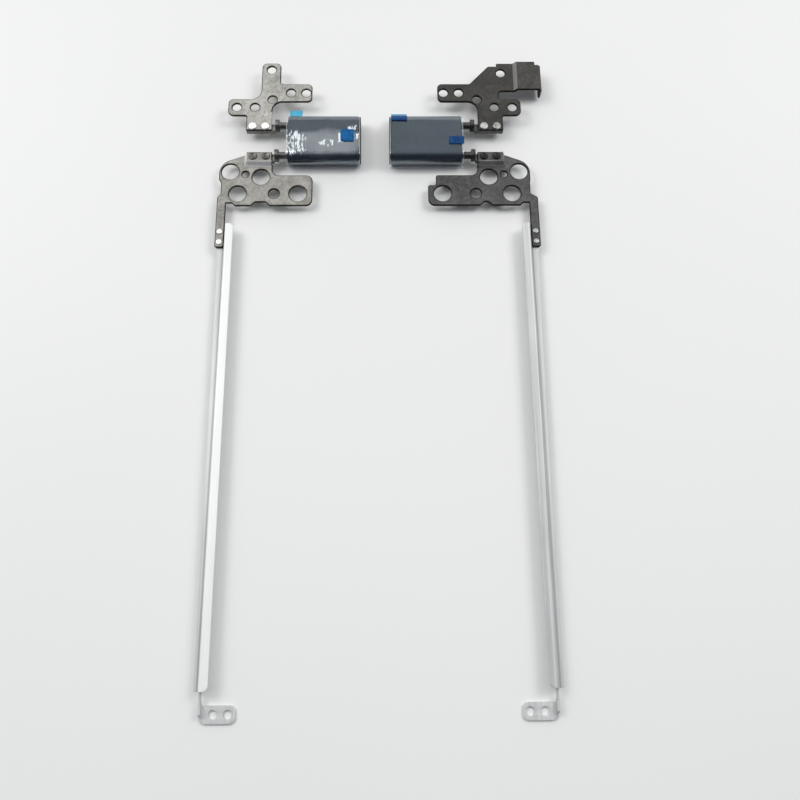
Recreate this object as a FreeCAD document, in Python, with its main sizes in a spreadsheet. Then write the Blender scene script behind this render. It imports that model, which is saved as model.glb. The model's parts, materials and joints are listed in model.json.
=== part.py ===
import FreeCAD, Part
import os
import Sketcher

# A left and a right dual-shaft laptop hinge, lying open at 180 degrees. X runs along the shafts,
# +Y points to the base brackets and Z is up from the surface the pair lies on.
# Every piece is drawn in the frame of its own hinge and shaft: the origin is on the shaft's axis at
# the cover's outer end, and "out" is measured along the shaft away from the cover.

SPRING_COUNT = 6
SIDES = {"left": -1, "right": 1}

SIZES = {
    # Hinge body
    "hinge_reach": 34.0,
    "axis_gap": 13.5,
    "cover_radius": 3.6,
    "cover_wall": 0.8,
    "cover_length": 27.6,
    "cover_round": 0.5,
    "cap_depth": 2.4,
    "cap_lip": 0.8,
    "cap_step": 0.3,
    "film_thickness": 0.3,
    "film_overhang": 0.5,
    "film_flap": 0.9,
    "film_flap_drop": 1.2,
    # Tape tabs on the film, measured from the end of the cover that each is nearer to
    "tape_thickness": 0.12,
    "left_edge_tab_inset": 0.3,
    "left_edge_tab_length": 4.9,
    "left_edge_tab_reach": 3.2,
    "left_face_tab_inset": 1.8,
    "left_face_tab_length": 5.2,
    "left_face_tab_low": 3.9,
    "left_face_tab_width": 5.4,
    "right_edge_tab_inset": 0.0,
    "right_edge_tab_length": 6.2,
    "right_edge_tab_reach": 1.6,
    "right_face_tab_inset": -0.7,
    "right_face_tab_length": 5.9,
    "right_face_tab_low": 2.7,
    "right_face_tab_width": 3.4,
    # Shafts
    "neck_diameter": 2.8,
    "neck_length": 3.6,
    "collar_diameter": 4.8,
    "collar_length": 1.6,
    "collar_gap": 0.7,
    "tail_thickness": 2.0,
    "tail_width": 3.0,
    "tail_shift": 1.5,
    "key_diameter": 2.4,
    "key_flat": 1.7,
    "thread_end": 0.8,
    "running_clearance": 0.05,
    # Gear train and friction stack
    "plate_recess": 0.8,
    "plate_thickness": 1.8,
    "gear_width": 3.0,
    "gear_play": 0.2,
    "gear_teeth": 13,
    "tooth_addendum": 0.27,
    "tooth_dedendum": 0.36,
    "tooth_tip_width": 0.18,
    "tooth_root_width": 0.54,
    "pin_diameter": 1.6,
    "washer_diameter": 5.0,
    "washer_thickness": 0.6,
    "spring_diameter": 4.8,
    "spring_sheet": 0.35,
    "spring_rise": 0.35,
    "nut_width": 4.2,
    "nut_height": 2.0,
    # Both brackets
    "sheet": 1.0,
    "tab_length": 10.0,
    "corner_round": 1.9,
    "small_round": 0.9,
    "rivet_shank": 1.8,
    "rivet_head": 3.4,
    "rivet_head_height": 0.5,
    "rivet_foot": 2.8,
    "rivet_foot_height": 0.3,
    "rivet_dish": 0.25,
    "rivet_inset": 2.4,
    "rivet_pitch": 5.0,
    "screw_hole": 3.5,
    # Base brackets
    "base_setback": 0.7,
    "base_tab_edge": 3.3,
    "base_height": 28.0,
    "base_root_round": 4.0,
    "inner_arm_reach": 9.1,
    "inner_arm_low": 9.8,
    "inner_arm_width": 8.4,
    "outer_arm_reach": 7.4,
    "outer_arm_low": 3.4,
    "outer_arm_width": 7.7,
    "outer_arm_round": 2.4,
    "arm_hole_inset": 2.4,
    "arm_hole_pitch": 6.1,
    "outer_hole_inset": 3.4,
    "middle_hole_inset": 3.2,
    "web_hole_rise": 1.0,
    "leg_width": 7.6,
    "leg_shift": 3.6,
    "leg_hole_drop": 3.2,
    "coin_depth": 0.12,
    "coin_arm": 3.0,
    "coin_out": 9.3,
    "coin_top": 14.4,
    "coin_low": 5.0,
    "hood_plate_out": 22.1,
    "hood_slot": 3.6,
    "hood_slot_in": 15.6,
    "hood_step_in": 15.0,
    "hood_step": 1.4,
    "hood_slope_in": 11.6,
    "hood_slope_out": 3.9,
    "hood_rise": 1.2,
    "hood_out": 32.8,
    "hood_leg": 5.6,
    "hood_bend": 1.6,
    "hood_step_bend": 0.6,
    "hood_relief": 1.5,
    "hood_relief_width": 2.4,
    "hood_hole_in": 16.6,
    "hood_hole_drop": 4.7,
    # Display brackets
    "display_tab_edge": 0.4,
    "display_tab_depth": 4.15,
    "joggle_drop": 2.2,
    "joggle_run": 1.0,
    "joggle_lap": 0.65,
    "joggle_bend": 0.4,
    "plate_out": 26.5,
    "shoulder_drop": 3.7,
    "shoulder_round": 6.0,
    "plate_low": 21.8,
    "left_waist_inset": 1.0,
    "right_waist_inset": 0.3,
    "waist_top": 11.8,
    "waist_low": 16.6,
    "waist_slant": 1.6,
    "left_arm_step": 0.2,
    "right_arm_step": 2.4,
    "arm_width": 3.5,
    "arm_end": 39.4,
    "relief_depth": 1.2,
    "relief_width": 2.2,
    "notch_depth": 1.6,
    "left_notch_length": 7.0,
    "right_notch_length": 4.6,
    "lobe_top": 8.5,
    "lobe_round": 2.6,
    "left_lobe_reach": 9.8,
    "right_lobe_reach": 13.5,
    "lobe_step_reach": 3.1,
    "lobe_step_drop": 4.4,
    "lobe_hole_inset": 5.6,
    "large_hole": 6.7,
    "medium_hole": 4.1,
    "small_hole": 2.6,
    "hole_land": 1.0,
    "upper_hole_low": 6.9,
    "middle_hole_low": 9.3,
    "lower_hole_rise": 5.2,
    "lower_hole_shift": 3.2,
    # Rails
    "rail_sheet": 0.8,
    "rail_gap": 0.3,
    "rail_top": 30.0,
    "rail_end": 197.0,
    "rail_rise": 2.4,
    "rail_flange": 3.2,
    "rail_lip": 3.2,
    "rail_lip_end": 1.8,
    "rail_bend": 0.9,
    "rail_rivet_shank": 1.4,
    "rail_rivet_head": 2.3,
    "rail_rivet_height": 0.35,
    "rail_rivet_inset": 2.2,
    "rail_rivet_pitch": 4.3,
    "foot_end": 207.0,
    "foot_width": 5.7,
    "foot_reach": 11.7,
    "foot_round": 2.0,
    "foot_heel": 2.2,
    "foot_hole": 2.8,
    "foot_hole_inset": 2.5,
    "foot_hole_pitch": 4.8,
    "neck_slant": 2.2,
}

doc = FreeCAD.newDocument("laptop_hinge_pair")
sheet = doc.addObject("Spreadsheet::Sheet", "dims")
for row, (alias, number) in enumerate(SIZES.items(), 1):
    sheet.set("A%d" % row, alias)
    sheet.set("B%d" % row, str(number))
    sheet.setAlias("B%d" % row, alias)
doc.recompute()


class Dim:
    """A number together with the sheet formula that gives it."""

    def __init__(self, text, value):
        self.text = text
        self.value = value

    def __add__(self, other):
        other = as_dim(other)
        return Dim("(%s + %s)" % (self.text, other.text), self.value + other.value)

    def __sub__(self, other):
        other = as_dim(other)
        return Dim("(%s - %s)" % (self.text, other.text), self.value - other.value)

    def __mul__(self, other):
        other = as_dim(other)
        return Dim("(%s * %s)" % (self.text, other.text), self.value * other.value)

    def __truediv__(self, other):
        other = as_dim(other)
        return Dim("(%s / %s)" % (self.text, other.text), self.value / other.value)

    def __neg__(self):
        return Dim("(0 - %s)" % self.text, -self.value)


def as_dim(number):
    return number if isinstance(number, Dim) else Dim(str(number), number)


def size(alias):
    """The named size in the sheet."""
    return Dim("dims." + alias, float(sheet.get(alias)))


ZERO = as_dim(0)
SHEET = size("sheet")
AXIS_GAP = size("axis_gap")
COVER_RADIUS = size("cover_radius")
INNER_RADIUS = COVER_RADIUS - size("cover_wall")
TAB_IN = size("neck_length") + size("collar_length") + size("collar_gap")
TAB_OUT = TAB_IN + size("tab_length")
BASE_IN = TAB_IN + size("base_setback")
BASE_OUT = BASE_IN + size("tab_length")
TAB_LOW = size("tail_thickness") / 2
TAB_TOP = TAB_LOW + SHEET
PLATE_TOP = TAB_TOP - size("joggle_drop")
PLATE_LOW = PLATE_TOP - SHEET
FLANGE_LOW = PLATE_LOW - size("rail_sheet")

# Depths inside the cover, from its outer end.
SHOULDER = size("plate_recess") + size("plate_thickness") + size("gear_play")
GEAR_END = SHOULDER + size("gear_width")
INNER_PLATE = GEAR_END + size("gear_play")
STACK = INNER_PLATE + size("plate_thickness") + size("running_clearance")
SPRINGS = STACK + size("washer_thickness")
SPRING_PITCH = size("spring_sheet") + size("spring_rise")
BACK_WASHER = SPRINGS + SPRING_PITCH * SPRING_COUNT
NUT = BACK_WASHER + size("washer_thickness")
SHAFT_END = NUT + size("nut_height") + size("thread_end")
IDLER_PITCH = AXIS_GAP / 3


def arm_out(side):
    """Outer edge of the display bracket's arm."""
    return size("plate_out") + size("left_arm_step" if side < 0 else "right_arm_step")


def arm_in(side):
    return arm_out(side) - size("arm_width")


def web_out(side):
    """Outer face of the rail's upright web, which runs beside the arm."""
    return arm_in(side) - size("rail_gap")


# The pair's frame: the middle of its footprint, on the surface it lies on.
FRAME_X = (arm_out(SIDES["left"]) - size("hood_out")) / 2
FRAME_Y = (size("foot_end") - AXIS_GAP - size("base_height")) / 2
FRAME_Z = COVER_RADIUS + size("film_thickness")
nodes = []


def bind(item, name, amount):
    item.setExpression(name, as_dim(amount).text)


def place(item, x, y, z):
    bind(item, "Placement.Base.x", x)
    bind(item, "Placement.Base.y", y)
    bind(item, "Placement.Base.z", z)


def finish(item, label, side, axis):
    """Seats a finished piece on its shaft's axis: axis 0 is the display shaft, 1 the base shaft."""
    item.Label = label
    place(item, size("hinge_reach") * side + FRAME_X, FRAME_Y + AXIS_GAP * axis, FRAME_Z)
    nodes.append(item)


def span(side, near, far):
    """Start and length along X of a stretch between two outward distances."""
    start = near if side > 0 else -far
    return start, far - near


def new_body(label):
    return doc.addObject("PartDesign::Body", label + "_body")


def origin_item(body, role):
    return next(item for item in body.Origin.OriginFeatures if item.Role == role)


def new_sketch(body, name, role, offset=ZERO, turn=0.0):
    sketch = body.newObject("Sketcher::SketchObject", name)
    sketch.AttachmentSupport = [(origin_item(body, role), "")]
    sketch.MapMode = "FlatFace"
    spin = FreeCAD.Rotation(FreeCAD.Vector(0, 0, 1), turn)
    sketch.AttachmentOffset = FreeCAD.Placement(FreeCAD.Vector(0, 0, offset.value), spin)
    bind(sketch, "AttachmentOffset.Base.z", offset)
    return sketch


def hold(sketch, kind, item, point, amount):
    index = sketch.addConstraint(Sketcher.Constraint(kind, -1, 1, item, point, amount.value))
    sketch.setExpression("Constraints[%d]" % index, amount.text)


def draw_polygon(sketch, points):
    first = sketch.GeometryCount
    points = [(as_dim(x), as_dim(y)) for x, y in points]
    corners = [FreeCAD.Vector(x.value, y.value, 0) for x, y in points]
    for start, end in zip(corners, corners[1:] + corners[:1]):
        sketch.addGeometry(Part.LineSegment(start, end), False)
    count = len(points)
    for i in range(count):
        joint = Sketcher.Constraint("Coincident", first + i, 2, first + (i + 1) % count, 1)
        sketch.addConstraint(joint)
    for i, (x, y) in enumerate(points):
        hold(sketch, "DistanceX", first + i, 1, x)
        hold(sketch, "DistanceY", first + i, 1, y)


def draw_box(sketch, low, high):
    (x0, y0), (x1, y1) = low, high
    draw_polygon(sketch, [(x0, y0), (x1, y0), (x1, y1), (x0, y1)])


def draw_circle(sketch, x, y, diameter):
    x, y = as_dim(x), as_dim(y)
    centre = FreeCAD.Vector(x.value, y.value, 0)
    circle = Part.Circle(centre, FreeCAD.Vector(0, 0, 1), diameter.value / 2)
    index = sketch.addGeometry(circle, False)
    hold(sketch, "DistanceX", index, 3, x)
    hold(sketch, "DistanceY", index, 3, y)
    width = sketch.addConstraint(Sketcher.Constraint("Diameter", index, diameter.value))
    sketch.setExpression("Constraints[%d]" % width, diameter.text)


def draw_stadium(sketch, radius):
    """An oval round both shaft axes, drawn in the YZ plane of the display shaft."""
    r, gap = radius.value, AXIS_GAP.value
    first = sketch.GeometryCount
    corners = [(ZERO, radius), (AXIS_GAP, radius), (AXIS_GAP, -radius), (ZERO, -radius)]
    spots = [FreeCAD.Vector(x.value, y.value, 0) for x, y in corners]
    far_end = Part.Arc(spots[1], FreeCAD.Vector(gap + r, 0, 0), spots[2])
    near_end = Part.Arc(spots[3], FreeCAD.Vector(-r, 0, 0), spots[0])
    sketch.addGeometry(Part.LineSegment(spots[0], spots[1]), False)
    sketch.addGeometry(far_end, False)
    sketch.addGeometry(Part.LineSegment(spots[2], spots[3]), False)
    sketch.addGeometry(near_end, False)
    for line, point, (x, y) in ((0, 1, corners[0]), (0, 2, corners[1]),
                                (2, 1, corners[2]), (2, 2, corners[3])):
        hold(sketch, "DistanceX", first + line, point, x)
        hold(sketch, "DistanceY", first + line, point, y)
    for a, a_end, b, b_end in ((1, 2, 0, 2), (1, 1, 2, 1), (3, 2, 2, 2), (3, 1, 0, 1)):
        sketch.addConstraint(Sketcher.Constraint("Coincident", first + a, a_end, first + b, b_end))
    hold(sketch, "DistanceX", first + 1, 3, AXIS_GAP)
    hold(sketch, "DistanceX", first + 3, 3, ZERO)


def pad(body, sketch, length, reverse=False):
    feature = body.newObject("PartDesign::Pad", sketch.Name + "_pad")
    feature.Profile = sketch
    feature.Reversed = reverse
    bind(feature, "Length", length)
    doc.recompute()
    return feature


def pocket(body, sketch, length, reverse=False):
    before = body.Shape.Volume
    feature = body.newObject("PartDesign::Pocket", sketch.Name + "_pocket")
    feature.Profile = sketch
    feature.Reversed = reverse
    bind(feature, "Length", length)
    doc.recompute()
    if body.Shape.Volume >= before:
        raise RuntimeError("nothing was cut by " + feature.Name)
    return feature


def edges_along(shape, axis, spots):
    """Names of the straight edges along an axis that stand on the given spots (None matches all)."""
    names = []
    for number, edge in enumerate(shape.Edges, 1):
        if edge.Curve.TypeId != "Part::GeomLine" or abs(edge.Curve.Direction[axis]) < 0.999:
            continue
        end = edge.Vertexes[0].Point
        for spot in spots:
            off = [abs(end[i] - as_dim(spot[i]).value) for i in range(3) if spot[i] is not None]
            if max(off) < 1e-4:
                names.append("Edge%d" % number)
    return names


def fillet(body, name, axis, spots, radius):
    base = body.Tip
    feature = body.newObject("PartDesign::Fillet", name)
    feature.Base = (base, edges_along(base.Shape, axis, spots))
    bind(feature, "Radius", radius)
    doc.recompute()
    return feature


def round_corners(body, name, points, radius):
    """Rounds the upright edges that stand on the given points of an outline."""
    return fillet(body, name, 2, [(x, y, None) for x, y in points], radius)


def round_edges(body, name, ends, radius):
    """Rounds the edges that run between the given pairs of points."""
    base = body.Tip
    names = []
    for number, edge in enumerate(base.Shape.Edges, 1):
        corners = [vertex.Point for vertex in edge.Vertexes]
        for pair in ends:
            spots = [FreeCAD.Vector(*(as_dim(part).value for part in spot)) for spot in pair]
            if all(min(spot.distanceToPoint(corner) for corner in corners) < 1e-4 for spot in spots):
                names.append("Edge%d" % number)
    feature = body.newObject("PartDesign::Fillet", name)
    feature.Base = (base, names)
    bind(feature, "Radius", radius)
    doc.recompute()
    return feature


def drill(body, name, holes, top, depth):
    """Cuts round holes straight down from a level, each given as x, y and diameter."""
    sketch = new_sketch(body, name, "XY_Plane", top)
    for x, y, diameter in holes:
        draw_circle(sketch, x, y, diameter)
    return pocket(body, sketch, depth)


def cylinder(name, diameter, length, x, y, z, along_x=True):
    """A round bar that starts at a point and runs along +X, or along +Z."""
    item = doc.addObject("Part::Cylinder", name)
    bind(item, "Radius", diameter / 2)
    bind(item, "Height", length)
    if along_x:
        item.Placement.Rotation = FreeCAD.Rotation(FreeCAD.Vector(0, 1, 0), 90)
    place(item, x, y, z)
    return item


def cone(name, low_radius, top_radius, height, x, y, z):
    item = doc.addObject("Part::Cone", name)
    bind(item, "Radius1", low_radius)
    bind(item, "Radius2", top_radius)
    bind(item, "Height", height)
    place(item, x, y, z)
    return item


def box(name, low, length, width, height):
    item = doc.addObject("Part::Box", name)
    bind(item, "Length", length)
    bind(item, "Width", width)
    bind(item, "Height", height)
    place(item, *low)
    return item


def fuse(name, items):
    item = doc.addObject("Part::MultiFuse", name)
    item.Shapes = items
    return item


def cut(name, base, tool):
    item = doc.addObject("Part::Cut", name)
    item.Base = base
    item.Tool = tool
    return item


def group(name, items):
    item = doc.addObject("Part::Compound", name)
    item.Links = items
    return item


def rivet_spots(side, tab_in):
    """The two rivets of a bracket's tab, as x and y."""
    first = tab_in + size("rivet_inset")
    level = -size("tail_shift")
    return [(first * side, level), ((first + size("rivet_pitch")) * side, level)]


def key_bar(name, start, length):
    """A round bar with two flats, the section that keys gears and washers to a shaft."""
    bar = cylinder(name + "_round", size("key_diameter"), length, start, 0, 0)
    low = (start, -size("key_diameter") / 2, -size("key_flat") / 2)
    flats = box(name + "_flats", low, length, size("key_diameter"), size("key_flat"))
    common = doc.addObject("Part::Common", name)
    common.Base = bar
    common.Tool = flats
    return common


def make_shaft(label, side, axis, tab_in, tail_out):
    """A turned shaft with a collar, a flat tail for the bracket and a keyed inner end."""
    neck_start, neck_length = span(side, -SHOULDER, size("neck_length"))
    neck = cylinder(label + "_neck", size("neck_diameter"), neck_length, neck_start, 0, 0)
    collar_start, collar_length = span(side, size("neck_length"), TAB_IN - size("collar_gap"))
    collar = cylinder(label + "_collar", size("collar_diameter"), collar_length, collar_start, 0, 0)
    tail_start, tail_length = span(side, TAB_IN - size("collar_gap"), tail_out)
    tail_low = (tail_start, -size("tail_shift") - size("tail_width") / 2, -TAB_LOW)
    tail = box(label + "_tail", tail_low, tail_length, size("tail_width"), size("tail_thickness"))
    key_start, key_length = span(side, -SHAFT_END, -SHOULDER)
    key = key_bar(label + "_key", key_start, key_length)
    solid = fuse(label + "_solid", [neck, collar, tail, key])
    holes = [cylinder(label + "_hole%d" % i, size("rivet_shank"), size("tail_thickness"), x, y,
                      -TAB_LOW, along_x=False)
             for i, (x, y) in enumerate(rivet_spots(side, tab_in))]
    finish(cut(label + "_shaft", solid, group(label + "_holes", holes)), label, side, axis)


def make_rivets(label, side, axis, spots, sizes, low, top, dished=False):
    """Rivets with a bevelled head on top, which may be dished, and a flat formed end below."""
    shank, head, head_height, foot, foot_height = sizes
    rivets = []
    for i, (x, y) in enumerate(spots):
        name = "%s_%d" % (label, i)
        pin = cylinder(name + "_pin", shank, top - low, x, y, low, along_x=False)
        end = cylinder(name + "_end", foot, foot_height, x, y, low - foot_height, along_x=False)
        rim = head / 2 - head_height / 2
        cap = cone(name + "_cap", head / 2, rim, head_height, x, y, top)
        rivet = fuse(name, [pin, end, cap])
        if dished:
            depth = size("rivet_dish")
            dish = cone(name + "_dish", rim / 2, rim - depth, depth, x, y, top + head_height - depth)
            rivet = cut(name + "_dished", rivet, dish)
        rivets.append(rivet)
    finish(group(label + "_group", rivets), label, side, axis)


def tab_rivet_sizes():
    return (size("rivet_shank"), size("rivet_head"), size("rivet_head_height"),
            size("rivet_foot"), size("rivet_foot_height"))


def base_outline(side):
    """Corner points of a base bracket, named for the rounding that follows."""
    outer = BASE_OUT + size("outer_arm_reach")
    outer_top = size("outer_arm_low") + size("outer_arm_width")
    inner = -size("inner_arm_reach")
    inner_top = size("inner_arm_low") + size("inner_arm_width")
    edge = -size("base_tab_edge")
    top = size("base_height")
    shared = {
        "tab_in": (BASE_IN, edge),
        "tab_out": (BASE_OUT, edge),
        "outer_root": (BASE_OUT, size("outer_arm_low")),
        "outer_low": (outer, size("outer_arm_low")),
        "outer_top": (outer, outer_top),
    }
    if side < 0:
        leg_in = size("leg_shift")
        leg_out = leg_in + size("leg_width")
        shared.update({
            "leg_root": (leg_out, outer_top),
            "leg_out": (leg_out, top),
            "leg_in": (leg_in, top),
            "inner_root": (leg_in, inner_top),
        })
    else:
        slot_top = outer_top + size("hood_slot")
        shared.update({
            "slot_low": (size("hood_slot_in"), outer_top),
            "slot_top": (size("hood_slot_in"), slot_top),
            "hood_low": (size("hood_plate_out"), slot_top),
            "hood_top": (size("hood_plate_out"), top),
            "step_top": (size("hood_step_in"), top),
            "step_low": (size("hood_step_in"), top - size("hood_step")),
            "slope_top": (size("hood_slope_in"), top - size("hood_step")),
            "slope_low": (size("hood_slope_out"), inner_top),
        })
    shared.update({
        "inner_top": (inner, inner_top),
        "inner_low": (inner, size("inner_arm_low")),
        "inner_web": (BASE_IN, size("inner_arm_low")),
    })
    return {name: (u * side, y) for name, (u, y) in shared.items()}


def base_holes(side):
    """Screw holes of a base bracket, as x, y and diameter, then the rivet holes."""
    arm_hole = size("arm_hole_inset") - size("inner_arm_reach")
    arm_level = size("inner_arm_low") + size("inner_arm_width") / 2
    outer_level = size("outer_arm_low") + size("outer_arm_width") / 2
    spots = [
        (arm_hole, arm_level),
        (arm_hole + size("arm_hole_pitch"), arm_level),
        (BASE_IN, size("inner_arm_low") + size("web_hole_rise")),
        (BASE_OUT - size("middle_hole_inset"), outer_level),
        (BASE_OUT + size("outer_arm_reach") - size("outer_hole_inset"), outer_level),
    ]
    if side < 0:
        leg_middle = size("leg_shift") + size("leg_width") / 2
        spots.append((leg_middle, size("base_height") - size("leg_hole_drop")))
    else:
        spots.append((size("hood_hole_in"), size("base_height") - size("hood_hole_drop")))
    holes = [(u * side, y, size("screw_hole")) for u, y in spots]
    return holes + [(x, y, size("rivet_shank")) for x, y in rivet_spots(side, BASE_IN)]


def add_hood(body, side):
    """The folded hood: the sheet steps up from the plate, runs outward and turns down."""
    low = size("outer_arm_low") + size("outer_arm_width") + size("hood_slot")
    root = size("hood_plate_out")
    step = size("hood_rise")
    top = TAB_TOP + step
    out = size("hood_out")
    profile = [
        (root - SHEET, TAB_LOW), (root, TAB_LOW), (root + step, TAB_LOW + step),
        (out - SHEET, TAB_LOW + step), (out - SHEET, top - size("hood_leg")),
        (out, top - size("hood_leg")), (out, top), (root + step - SHEET / 2, top),
        (root - SHEET / 2, TAB_TOP), (root - SHEET, TAB_TOP),
    ]
    sketch = new_sketch(body, body.Name + "_hood", "XZ_Plane", -low)
    draw_polygon(sketch, [(u * side, z) for u, z in profile])
    pad(body, sketch, size("base_height") - low, reverse=True)
    fillet(body, body.Name + "_bend", 1, [(out * side, None, top)], size("hood_bend"))
    inner_bend = [((out - SHEET) * side, None, TAB_LOW + step)]
    fillet(body, body.Name + "_inner_bend", 1, inner_bend, size("hood_bend") - SHEET)
    steps = [((root + step - SHEET / 2) * side, None, top), ((root - SHEET / 2) * side, None, TAB_TOP)]
    fillet(body, body.Name + "_step_bends", 1, steps, size("hood_step_bend"))
    relief = new_sketch(body, body.Name + "_relief", "XY_Plane", top)
    draw_box(relief, ((out - size("hood_relief_width")) * side, size("base_height") - size("hood_relief")),
             (out * side, size("base_height")))
    pocket(body, relief, size("hood_leg"))


def coin_arm(body, side):
    """Presses the inner arm and its root a little below the rest of the plate."""
    arm_in = -size("inner_arm_reach")
    arm_top = size("inner_arm_low") + size("inner_arm_width")
    area = [
        (size("coin_arm"), arm_top), (size("coin_arm"), size("coin_top")),
        (size("coin_out"), size("coin_top")), (size("coin_out"), size("coin_low")),
        (arm_in, size("coin_low")), (arm_in, arm_top),
    ]
    sketch = new_sketch(body, body.Name + "_coin", "XY_Plane", TAB_TOP)
    draw_polygon(sketch, [(u * side, y) for u, y in area])
    pocket(body, sketch, size("coin_depth"))


def make_base_bracket(label, side):
    body = new_body(label)
    points = base_outline(side)
    sketch = new_sketch(body, label + "_outline", "XY_Plane", TAB_LOW)
    draw_polygon(sketch, list(points.values()))
    pad(body, sketch, SHEET)
    roots = ["inner_web"] + (["leg_root"] if side < 0 else [])
    round_corners(body, label + "_roots", [points[n] for n in roots], size("base_root_round"))
    round_corners(body, label + "_wing", [points["outer_low"]], size("outer_arm_round"))
    ends = ["outer_top", "inner_top", "inner_low"]
    ends += ["leg_out", "leg_in"] if side < 0 else []
    round_corners(body, label + "_ends", [points[n] for n in ends], size("corner_round"))
    small = ["outer_root"]
    small += ["inner_root"] if side < 0 else ["slot_low", "slot_top", "slope_low", "slope_top"]
    round_corners(body, label + "_small", [points[n] for n in small], size("small_round"))
    if side > 0:
        add_hood(body, side)
    else:
        coin_arm(body, side)
    drill(body, label + "_holes", base_holes(side), TAB_TOP, SHEET)
    finish(body, label, side, 1)


def display_outline(side):
    """Corner points of a display bracket's plate, named for the rounding that follows."""
    left = side < 0
    out = size("plate_out")
    waist = out - size("left_waist_inset" if left else "right_waist_inset")
    low = -size("plate_low")
    relief = low + size("relief_depth")
    notch_in = TAB_IN + size("collar_gap")
    notch = size("left_notch_length") if left else size("right_notch_length")
    depth = size("notch_depth")
    lobe = size("left_lobe_reach") if left else size("right_lobe_reach")
    lobe_top = -size("lobe_top")
    points = {
        "tab_in": (TAB_IN, size("display_tab_edge")),
        "tab_out": (TAB_OUT + size("joggle_run"), size("display_tab_edge")),
        "shoulder": (out, size("display_tab_edge") - size("shoulder_drop")),
        "waist_high": (out, size("waist_slant") - size("waist_top")),
        "waist_top": (waist, -size("waist_top")),
        "waist_low": (waist, -size("waist_low")),
        "arm_high": (arm_out(side), -size("waist_low") - size("waist_slant")),
        "arm_out": (arm_out(side), -size("arm_end")),
        "arm_in": (arm_in(side), -size("arm_end")),
        "relief_out": (arm_in(side), relief),
        "relief_in": (arm_in(side) - size("relief_width"), relief),
        "plate_low": (arm_in(side) - size("relief_width") - size("relief_depth"), low),
        "notch_out": (notch_in + notch, low),
        "notch_top_out": (notch_in + notch - depth, low + depth),
        "notch_top_in": (notch_in + depth, low + depth),
        "notch_in": (notch_in, low),
        "lobe_low": (-lobe, low),
    }
    if left:
        points["lobe_high"] = (-lobe, lobe_top)
    else:
        step_level = lobe_top - size("lobe_step_drop")
        step_out = size("lobe_step_reach") - lobe
        points["lobe_end"] = (-lobe, step_level)
        points["lobe_step"] = (step_out, step_level)
        points["lobe_high"] = (step_out, lobe_top)
    points["lobe_root"] = (TAB_IN, lobe_top)
    return {name: (u * side, y) for name, (u, y) in points.items()}


def loft(body, kind, name, side, stages):
    """Adds or takes away a four-sided block between levels, given as level, low and high corner."""
    sketches = []
    for i, (level, (u0, y0), (u1, y1)) in enumerate(stages):
        sketches.append(new_sketch(body, "%s_%d" % (name, i), "XY_Plane", level))
        draw_box(sketches[-1], (u0 * side, y0), (u1 * side, y1))
    feature = body.newObject("PartDesign::" + kind, name)
    feature.Profile = sketches[0]
    feature.Sections = sketches[1:]
    feature.Ruled = True
    doc.recompute()
    return feature


def add_raised_tab(body, label, side):
    """The tab, drawn up from the plate to lie on the shaft's tail, with sloping walls on two sides."""
    edge = size("display_tab_edge")
    near = edge - size("display_tab_depth")
    run = size("joggle_run")
    lap = size("joggle_lap")
    loft(body, "AdditiveLoft", label + "_rise", side, [
        (PLATE_TOP, (TAB_IN, near - run), (TAB_OUT + run, edge)),
        (TAB_TOP, (TAB_IN, near), (TAB_OUT, edge)),
    ])
    bends = [((TAB_OUT * side, near, TAB_TOP), (TAB_IN * side, near, TAB_TOP)),
             ((TAB_OUT * side, near, TAB_TOP), (TAB_OUT * side, edge, TAB_TOP)),
             ((TAB_OUT * side, near, TAB_TOP), ((TAB_OUT + run) * side, near - run, PLATE_TOP))]
    round_edges(body, label + "_bends", bends, size("joggle_bend"))
    loft(body, "SubtractiveLoft", label + "_hollow", side, [
        (PLATE_LOW, (TAB_IN, near - run + lap), (TAB_OUT + run - lap, edge)),
        (TAB_LOW, (TAB_IN, near + lap), (TAB_OUT - lap, edge)),
    ])


def display_holes(side):
    """Cut-outs of a display bracket's plate, as x, y and diameter, with the arm's rivet holes."""
    left = side < 0
    large = size("large_hole")
    lobe = size("left_lobe_reach") if left else size("right_lobe_reach")
    lower = size("lower_hole_rise") - size("plate_low")
    upper_u = size("plate_out") - size("hole_land") - large / 2
    tab_u = TAB_IN + size("hole_land") + large / 2
    between = (upper_u + tab_u) / 2
    level = -(size("upper_hole_low") + size("middle_hole_low")) / 2
    spots = [
        (upper_u, -size("upper_hole_low"), large),
        (tab_u, -size("middle_hole_low"), large),
        (upper_u - size("lower_hole_shift"), lower, large),
        (size("lobe_hole_inset") - lobe, lower, large),
        (TAB_IN - size("small_round"), lower, size("medium_hole")),
        (between, level, size("small_hole")),
    ]
    holes = [(u * side, y, diameter) for u, y, diameter in spots]
    return holes + [(x, y, size("rail_rivet_shank")) for x, y in arm_rivet_spots(side)]


def arm_rivet_spots(side):
    middle = (arm_out(side) - size("arm_width") / 2) * side
    low = size("rail_rivet_inset") - size("arm_end")
    return [(middle, low), (middle, low + size("rail_rivet_pitch"))]


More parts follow.
